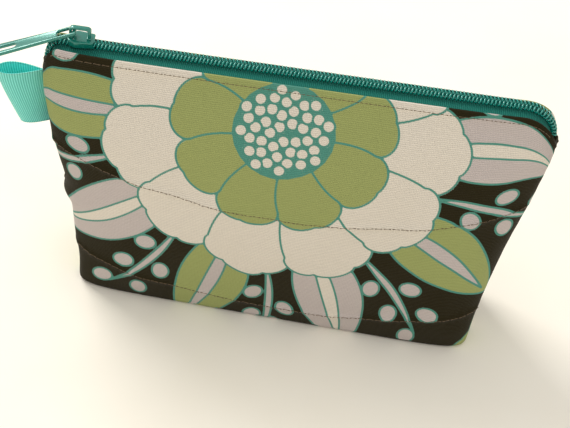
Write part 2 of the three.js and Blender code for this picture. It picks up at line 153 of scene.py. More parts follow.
def ring(z, columns):
    """Shares of the half width and half depth along one half of the wall at a height.
    The places are evenly spaced along the cloth, from the left seam to the right one."""
    power = squareness(z / HEIGHT)
    quarter = (math.pi / 2) * np.linspace(0, 1, 400) ** 3
    across = np.cos(quarter) ** (2 / power)
    deep = np.sin(quarter) ** (2 / power)
    across = np.concatenate([-across, across[-2::-1]])
    deep = np.concatenate([deep, deep[-2::-1]])
    width, depth = half_width(z / HEIGHT), half_depth(z / HEIGHT)
    steps = np.hypot(np.diff(across) * width, np.diff(deep) * depth)
    length = np.concatenate([[0], np.cumsum(steps)])
    even = np.linspace(0, length[-1], columns)
    return np.interp(even, length, across), np.interp(even, length, deep)


def normals_of(grid):
    """Unit normals of a grid of points, by its neighbours."""
    down = np.gradient(grid, axis=0)
    along = np.gradient(grid, axis=1)
    normal = np.cross(along, down)
    size = np.linalg.norm(normal, axis=2, keepdims=True)
    return normal / np.maximum(size, 1e-9)


# ---- meshes ----
def in_frame(points):
    return (np.asarray(points, float) + (CENTRE_X, 0, 0)) * MM


def mesh_object(name, points, faces, material):
    """An object from points in millimetres and faces of 3 or 4 corners."""
    mesh = bpy.data.meshes.new(name)
    mesh.from_pydata(in_frame(points).tolist(), [], [list(map(int, face)) for face in faces])
    mesh.validate()
    mesh.shade_smooth()
    piece = bpy.data.objects.new(name, mesh)
    bpy.context.scene.collection.objects.link(piece)
    mesh.materials.append(material)
    return piece


def grid_faces(rows, columns, flip=False):
    """Quads of a grid of points."""
    index = np.arange(rows * columns).reshape(rows, columns)
    quads = [index[:-1, :-1], index[:-1, 1:], index[1:, 1:], index[1:, :-1]]
    faces = np.stack(quads, axis=-1).reshape(-1, 4)
    return faces[:, ::-1] if flip else faces


def slab(grid, thickness):
    """Points and faces of a closed strip of cloth whose middle is the grid."""
    rows, columns = grid.shape[:2]
    offset = normals_of(grid) * thickness / 2
    points = np.concatenate([(grid + offset).reshape(-1, 3), (grid - offset).reshape(-1, 3)])
    count = rows * columns
    index = np.arange(count).reshape(rows, columns)
    rim = np.concatenate([index[0, :-1], index[:-1, -1], index[-1, :0:-1], index[:0:-1, 0]])
    after = np.roll(rim, -1)
    walls = np.stack([rim, rim + count, after + count, after], axis=1)
    top = grid_faces(rows, columns)
    return points, np.concatenate([top, top[:, ::-1] + count, walls[:, ::-1]])


def tube(path, radius, sides=6):
    """Points and faces of a round tube along a path, with flat ends."""
    path = np.asarray(path, float)
    ahead = np.roll(path, -1, 0) - np.roll(path, 1, 0)
    ahead[0] = path[1] - path[0]
    ahead[-1] = path[-1] - path[-2]
    ahead /= np.linalg.norm(ahead, axis=1, keepdims=True)
    side = np.cross(ahead, (0.0, 0.31, 0.95))
    side /= np.linalg.norm(side, axis=1, keepdims=True)
    up = np.cross(side, ahead)
    angle = np.arange(sides) * TAU / sides
    offset = np.cos(angle)[None, :, None] * side[:, None] + np.sin(angle)[None, :, None] * up[:, None]
    points = (path[:, None] + radius * offset).reshape(-1, 3)
    index = np.arange(len(path) * sides).reshape(len(path), sides)
    index = np.hstack([index, index[:, :1]])
    corners = [index[:-1, :-1], index[:-1, 1:], index[1:, 1:], index[1:, :-1]]
    faces = np.stack(corners, axis=-1).reshape(-1, 4).tolist()
    faces.append(list(range(sides))[::-1])
    faces.append(list(range(len(points) - sides, len(points))))
    return points, faces


def joined(parts):
    """One set of points and faces from several."""
    points, faces, count = [], [], 0
    for some_points, some_faces in parts:
        points.append(some_points)
        faces += [[corner + count for corner in face] for face in some_faces]
        count += len(some_points)
    return np.concatenate(points), faces


def set_floats(piece, name, values):
    attribute = piece.data.attributes.new(name, "FLOAT", "POINT")
    attribute.data.foreach_set("value", np.asarray(values, np.float32).ravel())


def set_colours(piece, name, values):
    attribute = piece.data.attributes.new(name, "FLOAT_COLOR", "POINT")
    rgba = np.concatenate([values, np.ones((len(values), 1))], axis=1)
    attribute.data.foreach_set("color", rgba.astype(np.float32).ravel())


def set_vectors(piece, name, values):
    attribute = piece.data.attributes.new(name, "FLOAT_VECTOR", "POINT")
    attribute.data.foreach_set("vector", np.asarray(values, np.float32).ravel())


# ---- materials ----
def linear(red, green, blue):
    """Linear colour from 0-255 sRGB."""
    share = np.array([red, green, blue]) / 255
    return tuple(np.where(share > 0.04045, ((share + 0.055) / 1.055) ** 2.4, share / 12.92))


CREAM = linear(226, 217, 202)
GREEN = linear(158, 166, 102)
DARK = linear(38, 32, 8)
GREY = linear(198, 187, 182)
OUTLINE = linear(82, 146, 130)


class Look:
    """A material's node tree, with short calls to add nodes."""

    def __init__(self, name, **shader):
        self.material = bpy.data.materials.new(name)
        self.material.use_nodes = True
        self.tree = self.material.node_tree
        self.shader = self.tree.nodes["Principled BSDF"]
        for word, value in shader.items():
            self.shader.inputs[word.replace("_", " ")].default_value = value

    def add(self, kind, settings=None, **inputs):
        node = self.tree.nodes.new(kind)
        for word, value in (settings or {}).items():
            setattr(node, word, value)
        for word, value in inputs.items():
            self.give(node.inputs[word.replace("_", " ")], value)
        return node

    def give(self, socket, value):
        if isinstance(value, bpy.types.NodeSocket):
            self.tree.links.new(value, socket)
        else:
            socket.default_value = value

    def math(self, operation, first, second=0.0):
        node = self.tree.nodes.new("ShaderNodeMath")
        node.operation = operation
        self.give(node.inputs[0], first)
        self.give(node.inputs[1], second)
        return node.outputs[0]

    def ramp(self, value, low, high, start=0.0, end=1.0):
        node = self.add("ShaderNodeMapRange", {"interpolation_type": "SMOOTHSTEP"})
        for socket, given in zip(node.inputs, (value, low, high, start, end)):
            self.give(socket, given)
        return node.outputs[0]

    def mix(self, share, first, second, blend="MIX"):
        node = self.add("ShaderNodeMix", {"data_type": "RGBA", "blend_type": blend})
        for socket, given in ((node.inputs[0], share), (node.inputs[6], first), (node.inputs[7], second)):
            if isinstance(given, tuple) and len(given) == 3:
                given = (*given, 1)
            self.give(socket, given)
        return node.outputs[2]

    def noise(self, vector, scale, detail=2.0):
        node = self.add("ShaderNodeTexNoise", Vector=vector, Scale=scale, Detail=detail)
        return node.outputs[0]

    def split(self, vector):
        return self.add("ShaderNodeSeparateXYZ", Vector=vector).outputs

    def attribute(self, name, output="Vector"):
        return self.add("ShaderNodeAttribute", {"attribute_name": name}).outputs[output]

    def place(self):
        """The piece's own coordinates, in millimetres."""
        node = self.add("ShaderNodeVectorMath", {"operation": "SCALE"})
        self.give(node.inputs[0], self.add("ShaderNodeTexCoord").outputs["Object"])
        self.give(node.inputs["Scale"], 1 / MM)
        return node.outputs[0]

    def colour(self, value):
        self.give(self.shader.inputs["Base Color"], (*value, 1) if isinstance(value, tuple) else value)

    def bump(self, height, distance):
        node = self.add("ShaderNodeBump", Height=height, Distance=distance, Strength=1.0)
        self.tree.links.new(node.outputs[0], self.shader.inputs["Normal"])


def weave(look, across, along, distort):
    """Height of a ribbed plain weave; across and along are thread pitches in millimetres."""
    fabric = look.attribute("fabric")
    u, v, _ = look.split(fabric)
    waver = look.math("MULTIPLY", look.noise(fabric, 0.35), distort)
    rib = look.math("SINE", look.math("ADD", look.math("MULTIPLY", v, TAU / along), waver))
    warp = look.math("SINE", look.math("ADD", look.math("MULTIPLY", u, TAU / across), waver))
    slub = look.noise(fabric, 2.2)
    return look.math("ADD", look.math("ADD", look.math("MULTIPLY", rib, 0.5), slub),
                     look.math("MULTIPLY", warp, 0.25))


def printed_cotton():
    look = Look("printed_cotton", Roughness=0.86, Sheen_Weight=0.05, Sheen_Roughness=0.5,
                Specular_IOR_Level=0.15)
    fill = look.attribute("fill", "Color")
    line = look.ramp(look.attribute("edge", "Fac"), 0.3, 0.58, 1.0, 0.0)
    height = weave(look, 0.62, 0.78, 5.0)
    printed = look.mix(line, fill, OUTLINE)
    shade = look.ramp(height, -0.2, 1.2, 0.83, 1.06)
    grey = look.add("ShaderNodeCombineColor", Red=shade, Green=shade, Blue=shade).outputs[0]
    printed = look.mix(1.0, printed, grey, "MULTIPLY")
    look.colour(printed)
    look.bump(height, 0.00013)
    return look.material


def plain_cotton(name, colour):
    look = Look(name, Roughness=0.9, Sheen_Weight=0.1, Specular_IOR_Level=0.2)
    height = weave(look, 0.6, 0.6, 3.0)
    shade = look.ramp(height, -0.2, 1.2, 0.0, 1.0)
    look.colour(look.mix(shade, tuple(0.82 * part for part in colour), colour))
    look.bump(height, 0.00008)
    return look.material


def fleece_felt():
    look = Look("fleece", Roughness=1.0, Sheen_Weight=0.3)
    place = look.place()
    fibres = look.noise(place, 1.4, 6.0)
    look.colour(look.mix(fibres, linear(214, 208, 196), linear(246, 243, 236)))
    look.bump(fibres, 0.0006)
    return look.material


def zipper_tape():
    look = Look("zipper_tape", Roughness=0.8, Sheen_Weight=0.03, Specular_IOR_Level=0.15)
    fabric = look.attribute("fabric")
    u, v, _ = look.split(fabric)
    along = look.math("MULTIPLY", u, TAU / COIL_PITCH)
    across = look.math("MULTIPLY", v, TAU / 1.1)
    lean = look.math("ADD", along, across)
    other = look.math("SUBTRACT", along, across)
    twill = look.math("MULTIPLY", look.math("SINE", lean), look.math("SINE", other))
    ribs = look.math("SINE", look.math("MULTIPLY", u, 2 * TAU / COIL_PITCH))
    height = look.math("ADD", look.math("MULTIPLY", twill, 0.7), look.math("MULTIPLY", ribs, 0.3))
    speck = look.ramp(look.math("ADD", height, look.math("MULTIPLY", look.noise(fabric, 3.0), 0.5)), 0.6, 1.1)
    look.colour(look.mix(speck, linear(2, 96, 85), linear(64, 166, 148)))
    look.bump(height, 0.00016)
    return look.material


def coil_nylon():
    look = Look("zipper_coil", Roughness=0.22, Specular_IOR_Level=0.6, Coat_Weight=0.6,
                Coat_Roughness=0.12)
    grain = look.noise(look.place(), 3.0)
    look.colour(look.mix(grain, linear(0, 128, 114), linear(8, 158, 142)))
    look.bump(grain, 0.00002)
    return look.material


def enamel():
    look = Look("enamel", Roughness=0.22, Metallic=0.25, Specular_IOR_Level=0.6, Coat_Weight=0.7,
                Coat_Roughness=0.08)
    place = look.place()
    specks = look.noise(place, 6.0, 3.0)
    worn = look.ramp(look.noise(place, 0.9, 4.0), 0.55, 0.8)
    colour = look.mix(specks, linear(6, 108, 94), linear(16, 132, 116))
    look.colour(look.mix(look.math("MULTIPLY", worn, 0.35), colour, linear(60, 160, 146)))
    look.bump(look.noise(place, 1.6, 3.0), 0.00003)
    return look.material


def grosgrain():
    look = Look("ribbon", Roughness=0.6, Sheen_Weight=0.2, Specular_IOR_Level=0.35)
    fabric = look.attribute("fabric")
    u, v, _ = look.split(fabric)
    rib = look.math("SINE", look.math("MULTIPLY", u, TAU / RIB))
    threads = look.math("SINE", look.math("MULTIPLY", v, TAU / 0.4))
    # Painted highlight: the loop's inside face gets a brighter, paler teal than its outside, standing in for
    # the light falling into the loop; it is the same ribbon
    lit_inside_share = look.attribute("inside", "Fac")
    outside = look.mix(look.ramp(rib, -1.0, 1.0), linear(80, 190, 174), linear(142, 234, 220))
    inside = look.mix(look.ramp(rib, -1.0, 1.0), linear(60, 226, 216), linear(108, 255, 248))
    look.colour(look.mix(lit_inside_share, outside, inside))
    look.bump(threads, 0.00004)
    return look.material


def thread(name, dark, pale):
    look = Look(name, Roughness=0.7, Sheen_Weight=0.2)
    twist = look.add("ShaderNodeTexWave", {"bands_direction": "DIAGONAL"}, Vector=look.place(),
                     Scale=1.6, Distortion=0.4)
    look.colour(look.mix(twist.outputs["Fac"], dark, pale))
    look.bump(twist.outputs["Fac"], 0.00005)
    return look.material


COTTON = printed_cotton()
LINING = plain_cotton("lining", linear(232, 226, 210))
FLEECE = fleece_felt()
TAPE = zipper_tape()
COIL = coil_nylon()
ENAMEL = enamel()
RIBBON = grosgrain()
BROWN = thread("thread_brown", linear(70, 52, 30), linear(120, 96, 66))
PALE = thread("thread_pale", linear(190, 184, 168), linear(226, 222, 208))


# ---- the wall: one function gives every ply ----
def fold_sag(x, side):
    """How much lower than the front one the back fold hangs, along the zipper."""
    if side < 0:
        return 0 * x
    return BACK_SAG * (1 - np.abs(np.clip(x / TOP_HALF, -1, 1)) ** 10)


def twisted(grid):
    """Turns the lower part of a grid of points about the upright axis."""
    angle = -BASE_TWIST * (1 - smoothstep(grid[..., 2] / TWIST_REACH))
    x, y = grid[..., 0].copy(), grid[..., 1].copy()
    grid[..., 0] = x * np.cos(angle) - y * np.sin(angle)
    grid[..., 1] = x * np.sin(angle) + y * np.cos(angle)
    return grid


def stitch_height(line, share):
    """Height of a quilting line: lower in the middle than at the sides."""
    edge, middle = line
    return HEIGHT * (middle + (edge - middle) * share**2)


def ripple(u, v):
    """Soft unevenness of the standing wall, in millimetres."""
    waves = [
        (0.34, 71, 160, 0.4), (0.26, -43, 67, 2.1), (0.20, 37, -52, 4.0), (0.15, 27, 61, 1.2),
        (0.10, -21, 46, 5.2), (0.06, 16, -39, 3.3),
    ]
    return sum(size * np.sin(TAU * (u / long + v / tall) + phase) for size, long, tall, phase in waves)


def quilted(share, z, u, side):
    """How far a ply stands in from the plain wall: seams, quilting lines and slack."""
    inward = np.zeros_like(z)
    for line, deep in ((UPPER_QUILT, 1.25), (LOWER_QUILT, 1.0)):
        away = np.abs(z - stitch_height(line, share))
        reach = smoothstep((1 - np.abs(share)) / 0.03)
        inward += reach * deep * (0.45 * np.exp(-((away / 1.3) ** 2)) + 0.55 * np.exp(-away / 6.5))
        pucker = np.sin(TAU * u / 3.6) + 0.6 * np.sin(TAU * u / 7.9 + 1)
        inward += reach * 0.10 * pucker * np.exp(-((away / 3.2) ** 2))
    below_fold = HEIGHT - end_drop(TOP_HALF * share) - fold_sag(TOP_HALF * share, side) - z
    inward += 0.42 * np.exp(-(((below_fold - TOPSTITCH_BELOW_FOLD) / 0.8) ** 2))
    inward += 0.07 * np.sin(TAU * u / 3.4) * np.exp(-(((below_fold - 3.4) / 2.4) ** 2))
    seam = FABRIC_HALF - np.abs(u)
    inward += 0.85 * np.exp(-seam / 1.1) + 0.12 * np.sin(TAU * z / 8.3) * np.exp(-seam / 5)
    if side < 0:
        inward += 2.2 * np.exp(-(((z - 43 - 0.12 * seam) / 3.4) ** 2)) * smoothstep((-u - 74) / 26)
    calm = smoothstep(z / 14) * smoothstep(below_fold / 12) * smoothstep(seam / 12)
    inward -= calm * ripple(u + 40 * side, z)
    return inward


def wall_grid(side, inset, spacing, top=0.0, fold=0.0, hem=0.0):
    """A ply of the front (side -1) or back (side 1) wall as a grid of points, from the bottom seam
    up to `top` below the folded edge. With a fold, it turns over there and comes back down `hem`.
    Also gives each point's place on the flat cloth."""
    columns = int(2 * FABRIC_HALF / spacing) + 1
    corner = BASE_CORNER
    rows = []
    for r in np.linspace(0, 1, max(int(18 / (1.6 * spacing)), 4), endpoint=False):
        rows.append((0.0, corner, r, -corner - (1 - r) * (BASE_DEEP - corner)))
    for turn in np.linspace(0, math.pi / 2, 8, endpoint=False):
        rows.append((corner * (1 - math.cos(turn)), corner * (1 - math.sin(turn)), 1.0,
                     -corner * (1 - math.sin(turn))))
    crest = HEIGHT - top - fold
    for z in np.linspace(corner, crest, int((crest - corner) / spacing)):
        rows.append((z, 0.0, 1.0, z))
    if fold:
        for turn in np.linspace(0, math.pi, 9)[1:]:
            step_in = fold * (1 - math.cos(turn))
            rows.append((crest + fold * math.sin(turn), step_in, 1.0, crest + fold * turn))
        for z in np.linspace(crest, HEIGHT - hem, 6)[1:]:
            rows.append((z, 2 * fold, 1.0, 2 * crest + math.pi * fold - z))

    def turned_share(z, step_in, reach):
        """1 on the wall, falling to -1 where the ply has turned over at the fold; 0 under the base."""
        if reach < 1:
            return 0
        return 1 - step_in / fold if fold and z > corner else 1

    u = np.linspace(-FABRIC_HALF, FABRIC_HALF, columns)
    grid = np.zeros((len(rows), columns, 3))
    cloth = np.zeros((len(rows), columns, 3))
    for i, (z, step_in, reach, v) in enumerate(rows):
        share, depth = ring(z, columns)
        fall = end_drop(TOP_HALF * share) + fold_sag(TOP_HALF * share, side)
        drop = fall * smoothstep(1 - (HEIGHT - z) / CURL_REACH)
        height = z - drop
        t = height / HEIGHT
        width = half_width(t) - inset - step_in
        deep = half_depth(t) - inset - step_in
        grid[i, :, 0] = width * share
        grid[i, :, 1] = side * np.maximum(deep * depth * reach, 0.05)
        grid[i, :, 2] = np.maximum(height, inset + 0.1)
        cloth[i, :, 0] = u if reach == 1 else u * reach + width * share * (1 - reach)
        cloth[i, :, 1] = v
    normal = normals_of(grid) * side
    shares = grid[..., 0] / half_width(grid[..., 2] / HEIGHT)
    inward = quilted(shares, grid[..., 2], cloth[..., 0], side)
    facing = np.array([turned_share(z, step_in, reach) for z, step_in, reach, _ in rows])[:, None]
    grid -= normal * (inward * facing)[..., None]
    grid[..., 2] = np.maximum(grid[..., 2], inset + 0.1)
    return twisted(grid), cloth


def outward(grid, side):
    return grid_faces(*grid.shape[:2], flip=side < 0)


def attach(piece, side, slot_name, *replaced):
    """Hides the parts a piece replaces; a back piece rides the pouch body, a front piece only has its
    transform baked in.
    """
    if replaced:
        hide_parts(*replaced)
    if side > 0:
        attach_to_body(piece, "pouch")
        return
    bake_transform(piece)
    points = np.zeros(len(piece.data.vertices) * 3)
    piece.data.vertices.foreach_get("co", points)


SIDES = (("front", -1), ("back", 1))


# ---- the print: a plain half-drop repeat of flowers and leaves with outlines, in cloth millimetres ----
REPEAT = (232.0, 212.0)  # across and down the cloth
FIRST_FLOWER = (-4.0, 98.0)
LARGE_FLOWER = 70.0  # radius
SMALL_FLOWER = 33.0
SEED_ANGLE = math.pi * (3 - math.sqrt(5))
LEAF_STEP = 36  # degrees between neighbouring leaves about a large flower
BACK_TURNOVER = 96.0  # the back panel is cut upside down, this far along the cloth


def turned(outline, degrees, centre):
    """An outline drawn along +u from the origin, turned and moved to its centre."""
    angle = math.radians(degrees)
    u, v = np.asarray(outline, float).T
    return np.stack([centre[0] + u * math.cos(angle) - v * math.sin(angle),
                     centre[1] + u * math.sin(angle) + v * math.cos(angle)], 1)


def petal(inner, outer, wide, lobes):
    """A petal along +u: narrow at its root, round and scalloped at its tip."""
    shoulder = inner + 0.68 * (outer - inner)
    side = np.linspace(0, 1, 12)[:-1]
    along = inner + (shoulder - inner) * side
    across = wide * (0.3 + 0.6 * np.sin(side * math.pi / 2))
    phi = np.linspace(-math.pi / 2, math.pi / 2, 14 * lobes + 1)
    scallop = 0.9 + 0.1 * np.abs(np.sin(lobes * (phi + math.pi / 2))) ** 0.6
    tip = np.stack([shoulder + (outer - shoulder) * np.cos(phi) * scallop, wide * np.sin(phi) * scallop], 1)
    return np.concatenate([np.stack([along, -across], 1), tip, np.stack([along, across], 1)[::-1]])


def leaf(start, stop, wide, bow=0.0):
    """A pointed leaf along +u, bowed to one side."""
    t = np.linspace(0, 1, 26)
    spine = bow * 4 * t * (1 - t)
    half = wide * np.sin(math.pi * t**0.85)
    along = start + (stop - start) * t
    return np.concatenate([np.stack([along, spine + half], 1), np.stack([along, spine - half], 1)[::-1]])


def oval(centre, long, wide, degrees=0.0):
    """A berry or a seed."""
    phi = np.linspace(0, TAU, 24)[:-1]
    return turned(np.stack([long * np.cos(phi), wide * np.sin(phi)], 1), degrees, centre)


def ring_of(colour, count, outline, centre, turn=0.0):
    """Copies of one outline, evenly turned about a centre."""
    return [(colour, turned(outline, turn + 360 * k / count, centre)) for k in range(count)]


def flower(centre, radius, outer, inner):
    """Two rings of equal petals about a heart of spiralling seeds."""
    shapes = ring_of(outer, 11, petal(0.3 * radius, radius, 0.27 * radius, 3), centre)
    shapes += ring_of(inner, 9, petal(0.16 * radius, 0.62 * radius, 0.19 * radius, 2), centre, 13)
    shapes.append((OUTLINE, oval(centre, 0.27 * radius, 0.27 * radius)))
    for k in range(1, 44):
        reach = 0.037 * radius * math.sqrt(k)
        place = turned([(reach, 0)], math.degrees(SEED_ANGLE) * k, centre)[0]
        shapes.append((CREAM, oval(place, 0.034 * radius, 0.034 * radius)))
    return shapes


def spray(centre, degrees):
    """A thin stalk with berries on alternate sides."""
    shapes = [(GREY, turned(leaf(62, 112, 1.5, 3), degrees, centre))]
    for k in range(5):
        side = 1 if k % 2 else -1
        shapes.append((GREY, turned(oval((80 + 8 * k, 3 + 7 * side), 4.6, 3.5, 35 * side), degrees, centre)))
    return shapes


def motif(centre):
    """Leaves and sprays in turn about a large flower."""
    shapes = []
    for k in range(360 // LEAF_STEP):
        colour, rib = ((GREY, CREAM), (GREEN, GREY))[k % 2]
        degrees = LEAF_STEP * k
        shapes += spray(centre, degrees + LEAF_STEP / 2)
        shapes.append((colour, turned(leaf(46, 120, 14, 3), degrees, centre)))
        shapes.append((rib, turned(leaf(52, 112, 3, 3), degrees, centre)))
    return shapes + flower(centre, LARGE_FLOWER, CREAM, GREEN)


def print_layers():
    """(colour, outline) from the ground up: large flowers, then small ones half a repeat away."""
    large, small = [], []
    for across in (-1, 0, 1):
        for down in (-1, 0):
            u = FIRST_FLOWER[0] + across * REPEAT[0]
            v = FIRST_FLOWER[1] + down * REPEAT[1]
            large += motif((u, v))
            small += flower((u + REPEAT[0] / 2, v + REPEAT[1] / 2), SMALL_FLOWER, GREEN, CREAM)
    return large + small


def signed_distance(places, outline):
    """Distance from each place to a closed outline, negative inside it."""
    ahead = np.roll(outline, -1, 0) - outline
    to = places[:, None] - outline[None]
    share = np.clip((to * ahead).sum(-1) / np.maximum((ahead**2).sum(-1), 1e-9), 0, 1)
    away = np.sqrt(((to - ahead * share[..., None]) ** 2).sum(-1).min(1))
    following = np.roll(outline, -1, 0)
    rising = outline[None, :, 1] <= places[:, None, 1]
    crossing = rising != (following[None, :, 1] <= places[:, None, 1])
    side = ahead[:, 0] * to[..., 1] - ahead[:, 1] * to[..., 0]
    winding = np.where(crossing, np.where(rising, side > 0, side < 0), False).sum(1)
    return np.where(winding % 2 == 1, -away, away)


def paint(u, v):
    """Colour of the print and the distance to its nearest outline, at places on the cloth."""
    places = np.stack([u, v], 1)
    fill = np.tile(np.array(DARK), (len(u), 1))
    edge = np.full(len(u), 9.0)
    margin = 1.2
    for colour, outline in print_layers():
        low, high = outline.min(0) - margin, outline.max(0) + margin
        near = np.flatnonzero(((places > low) & (places < high)).all(1))
        if not len(near):
            continue
        away = signed_distance(places[near], outline)
        inside = away < 0
        fill[near[inside]] = colour
        edge[near] = np.where(inside, -away, np.minimum(edge[near], away))
    return fill, edge


# ---- walls ----
def make_walls():
    """The printed panels, the batting and the lining. Gives back the panels' grids for the stitches."""
    panels = {}
    for word, side in SIDES:
        grid, cloth = wall_grid(side, 0.0, 0.62, fold=0.5, hem=9)
        panels[word] = grid
        piece = mesh_object(f"outer_panel_{word}", grid.reshape(-1, 3), outward(grid, side), COTTON)
        u, v = cloth[..., 0].ravel(), cloth[..., 1].ravel()
        fill, edge = paint(u, v if side < 0 else BACK_TURNOVER - v)
        set_colours(piece, "fill", fill)
        set_floats(piece, "edge", edge)
        set_vectors(piece, "fabric", cloth.reshape(-1, 3))
        attach(piece, side, "printed_cotton", f"outer_{word}")

        grid, _ = wall_grid(side, FLEECE_INSET + 0.6, 2.0, top=11)
        piece = mesh_object(f"fleece_batting_{word}", *slab(grid, 0.9), FLEECE)
        attach(piece, side, "fleece", f"fleece_{word}")

        grid, cloth = wall_grid(side, LINING_INSET, 1.2, top=2)
        piece = mesh_object(f"lining_panel_{word}", grid.reshape(-1, 3), outward(grid, -side), LINING)
        set_vectors(piece, "fabric", cloth.reshape(-1, 3))
        attach(piece, side, "lining", f"lining_{word}")
    return panels


# ---- stitches ----
def line_on(grid, side, height_at, reach):
    """Where a line of stitches crosses a panel's grid, and the normals there."""
    normal = normals_of(grid) * side
    points, ups = [], []
    for j in range(grid.shape[1]):
        x, z = grid[:, j, 0], grid[:, j, 2]
        share = x / half_width(z / HEIGHT)
        above = z - height_at(share)
        i = int(np.argmax(above > 0))
        if i == 0 or abs(share[i]) > reach:
            continue
        part = above[i] / (above[i] - above[i - 1])
        points.append(grid[i, j] * (1 - part) + grid[i - 1, j] * part)
        ups.append(normal[i, j])
    return np.array(points), np.array(ups)


def stitches(points, ups, long=2.9, gap=0.7, radius=0.17):
    """Separate stitches along a line: each rises out of the cloth and dives back in."""
    steps = np.linalg.norm(np.diff(points, axis=0), axis=1)
    length = np.concatenate([[0], np.cumsum(steps)])

    def at(values, place):
        return np.stack([np.interp(place, length, values[:, axis]) for axis in range(3)], axis=1)

    made = []
    start = 0.5
    while start + long < length[-1]:
        place = np.linspace(start, start + long, 7)
        rise = np.array([-0.22, 0.0, 0.1, 0.13, 0.1, 0.0, -0.22])
        path = at(points, place) + at(ups, place) * rise[:, None]
        made.append(tube(path, radius))
        start += long + gap
    return joined(made)


def make_stitches(panels):
    """The topstitching beside the zipper and two quilting lines on each wall."""
    for word, side in SIDES:

        def beside_fold(share):
            x = TOP_HALF * share
            return HEIGHT - end_drop(x) - fold_sag(x, side) - TOPSTITCH_BELOW_FOLD

        lines = {
            "topstitch": beside_fold,
            "quilt_upper": lambda share: stitch_height(UPPER_QUILT, share),
            "quilt_lower": lambda share: stitch_height(LOWER_QUILT, share),
        }
        for name, height_at in lines.items():
            line, ups = line_on(panels[word], side, height_at, 0.985)
            piece = mesh_object(f"{name}_stitches_{word}", *stitches(line, ups), BROWN)
            attach(piece, side, "thread_brown", f"{name}_{word}")


# ---- zipper ----
def fold_path(spacing):
    """Points along the folded edge from seam to seam, evenly spaced, with the directions along and
    up from it, in the plane y = 0."""
    turn = np.linspace(0.12, math.pi / 2, 60)
    ends = []
    for sign, (long, drop) in ((-1, LEFT_CURL), (1, RIGHT_CURL)):
        x = sign * (TOP_HALF - long * (1 - np.cos(turn)))
        ends.append(np.stack([x, HEIGHT - drop * (1 - np.sin(turn))], 1))
    path = np.concatenate([ends[0], ends[1][::-1]])
    length = np.concatenate([[0], np.cumsum(np.linalg.norm(np.diff(path, axis=0), axis=1))])
    even = np.linspace(0, length[-1], int(length[-1] / spacing) + 1)
    x, z = np.interp(even, length, path[:, 0]), np.interp(even, length, path[:, 1])
    ahead = np.stack([np.gradient(x), np.zeros_like(x), np.gradient(z)], 1)
    ahead /= np.linalg.norm(ahead, axis=1, keepdims=True)
    up = np.stack([-ahead[:, 2], np.zeros_like(x), ahead[:, 0]], 1)
    return even, np.stack([x, np.zeros_like(x), z], 1), up


def make_tape(word, side):
    """Woven tape from under the coil out to the fold, and down inside it."""
    along, path, up = fold_path(0.8)
    rows, cloth = [], []
    share = np.clip(np.abs(path[:, 0]) / (TOP_HALF - 0.4), 0, 0.9995)
    share_depth = (1 - share**6) ** (1 / 6)
    sag = fold_sag(path[:, 0], side)

    def wall_y(below, inset):
        deep = half_depth((path[:, 2] - below) / HEIGHT) - inset - TAPE_THICK / 2
        return np.maximum(deep * share_depth, 0.6)

    edge = wall_y(1, TAPE_INSET)
    round_off = np.minimum(1.0, edge / 3)
    for part in np.linspace(0, 1, 14):
        y = 0.5 + (edge - round_off - 0.5) * part
        sink = 1.15 + sag * smoothstep((y - 3.6) / np.maximum(edge - 4.6, 0.5))
        rows.append(path - up * sink[:, None] + np.stack([0 * y, side * y, 0 * y], 1))
        cloth.append(y)
    for angle in np.linspace(0, math.pi / 2, 6)[1:]:
        y = edge - round_off * (1 - math.sin(angle))
        sink = 1.15 + sag + round_off * (1 - math.cos(angle))
        rows.append(path - up * sink[:, None] + np.stack([0 * y, side * y, 0 * y], 1))
        cloth.append(y)
    for sunk in np.linspace(0, 8, 9)[1:]:
        y = wall_y(2 + sunk, TAPE_INSET + 0.14 * sunk)
        narrower = path * (0.996, 1, 1)
        rows.append(narrower + np.stack([0 * y, side * y, -2.15 - sunk - sag], 1))
        cloth.append(y + sunk)
    grid = np.stack(rows)
    if side < 0:
        grid = grid[::-1]
        cloth = cloth[::-1]
    points, faces = slab(grid, TAPE_THICK)
    piece = mesh_object(f"zipper_tape_{word}", points, faces, TAPE)
    flat = np.stack([np.broadcast_to(along, grid.shape[:2]), np.stack(cloth), np.zeros(grid.shape[:2])], -1)
    set_vectors(piece, "fabric", np.concatenate([flat.reshape(-1, 3)] * 2))
    attach(piece, side, "zipper_tape", f"zip_tape_{word}")


def make_coil(word, side, end):
    """The coil of one chain half, and the thread that sews it to its tape."""
    along, path, up = fold_path(COIL_PITCH / 12)
    turn = TAU * along / COIL_PITCH + (math.pi if side > 0 else 0)
    across = side * (1.3 + 1.08 * np.cos(turn))
    rise = 0.4 + 0.94 * np.sin(turn)
    y = np.stack([0 * across, across, 0 * across], 1)
    coil = mesh_object(f"zipper_coil_{word}", *tube(path + y + up * rise[:, None], WIRE), COIL)
    attach(coil, side, "zipper_coil", f"coil_{word}", end)

    along, path, up = fold_path(COIL_PITCH / 8)
    turn = TAU * along / COIL_PITCH
    made = []
    for lane, phase in ((1.55, 0.0), (2.25, 1.6)):
        across = side * (lane + 0.1 * np.sin(turn + phase))
        rise = 1.52 + 0.08 * np.cos(turn + phase) - 0.75 * (lane - 1.2)
        y = np.stack([0 * across, across, 0 * across], 1)
        made.append(tube(path + y + up * rise[:, None], 0.13, 5))
    sewing = mesh_object(f"zipper_sewing_{word}", *joined(made), TAPE)
    set_vectors(sewing, "fabric", np.zeros((len(sewing.data.vertices), 3)))
    attach(sewing, side, "zipper_tape")


# ---- slider and pull ----
def arc_points(centre, radius, start, stop, steps=8):
    angles = np.radians(np.linspace(start, stop, steps))
    return [(centre[0] + radius * math.cos(a), centre[1] + radius * math.sin(a)) for a in angles]


